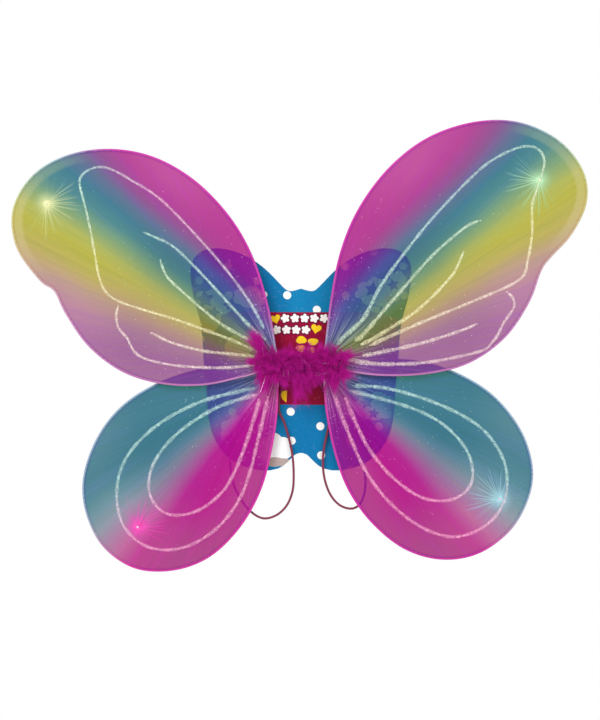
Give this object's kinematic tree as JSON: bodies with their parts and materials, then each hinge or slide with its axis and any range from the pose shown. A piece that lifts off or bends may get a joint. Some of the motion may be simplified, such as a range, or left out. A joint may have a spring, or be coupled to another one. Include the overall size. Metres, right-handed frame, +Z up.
{
  "type": "fairy wings",
  "caption": "Costume fairy wings: sheer rainbow fabric on wire loops with glitter veins, feather trim and elastic arm straps, tied to a shaped display card.",
  "frame": {"origin": "middle of the hub that joins the wings, where the wings are held", "axes": "+Z up as worn, X across the wings with +X to the right of someone facing their front, -Y towards the front that shows glitter and feathers, +Y towards the display card and the wearer's back"},
  "size_m": [0.4717, 0.027, 0.3705],
  "materials": {
    "wing_wire": "white coated spring wire, satin",
    "upper_wing_fabric": "sheer stretched nylon knit, dyed in rainbow bands, slight sheen",
    "lower_wing_fabric": "sheer stretched nylon knit, dyed teal to magenta, slight sheen",
    "gather_thread": "white sewing thread",
    "glitter_glue": "silver glitter in clear glue",
    "root_tape": "cloth tape, matt",
    "bar_wire": "twisted steel wire",
    "marabou": "dyed marabou down with a few strands of tinsel",
    "elastic": "braided round elastic cord, satin",
    "printed_card": "printed card, gloss coated in front, plain grey board behind",
    "clear_tie": "clear nylon loop tie"
  },
  "bodies": {
    "centre": {"centre_bar": "bar_wire", "centre_wrap": "root_tape", "marabou_centre": "marabou", "strap_left": "elastic", "strap_right": "elastic", "strap_knot_left": "elastic", "strap_knot_right": "elastic", "display_card": "printed_card", "card_tie": "clear_tie"},
    "left_root": {"left_root_wrap": "root_tape", "marabou_left": "marabou"},
    "right_root": {"right_root_wrap": "root_tape", "marabou_right": "marabou"},
    "upper_left": {"upper_left_frame": "wing_wire", "upper_left_sleeve": "upper_wing_fabric", "upper_left_gather": "gather_thread", "upper_left_glitter": "glitter_glue", "upper_left_eye": "wing_wire"},
    "upper_right": {"upper_right_frame": "wing_wire", "upper_right_sleeve": "upper_wing_fabric", "upper_right_gather": "gather_thread", "upper_right_glitter": "glitter_glue", "upper_right_eye": "wing_wire"},
    "lower_left": {"lower_left_frame": "wing_wire", "lower_left_sleeve": "lower_wing_fabric", "lower_left_gather": "gather_thread", "lower_left_glitter": "glitter_glue", "lower_left_eye": "wing_wire"},
    "lower_right": {"lower_right_frame": "wing_wire", "lower_right_sleeve": "lower_wing_fabric", "lower_right_gather": "gather_thread", "lower_right_glitter": "glitter_glue", "lower_right_eye": "wing_wire"}
  },
  "joints": [
    {"name": "left_wing_fold", "type": "hinge", "parent": "centre", "child": "left_root", "pos_m": [-0.012, 0, 0], "axis": [0, 0, 1], "range_deg": [0, 60]},
    {"name": "right_wing_fold", "type": "hinge", "parent": "centre", "child": "right_root", "pos_m": [0.012, 0, 0], "axis": [0, 0, -1], "range_deg": [0, 60]},
    {"name": "upper_left_tilt", "type": "hinge", "parent": "left_root", "child": "upper_left", "pos_m": [-0.0185, -0.0026, 0.003], "axis": [0, 1, 0], "range_deg": [-8, 8]},
    {"name": "upper_right_tilt", "type": "hinge", "parent": "right_root", "child": "upper_right", "pos_m": [0.0185, -0.0026, 0.003], "axis": [0, -1, 0], "range_deg": [-8, 8]},
    {"name": "lower_left_tilt", "type": "hinge", "parent": "left_root", "child": "lower_left", "pos_m": [-0.0185, 0.0026, -0.003], "axis": [0, 1, 0], "range_deg": [-8, 8]},
    {"name": "lower_right_tilt", "type": "hinge", "parent": "right_root", "child": "lower_right", "pos_m": [0.0185, 0.0026, -0.003], "axis": [0, -1, 0], "range_deg": [-8, 8]}
  ]
}
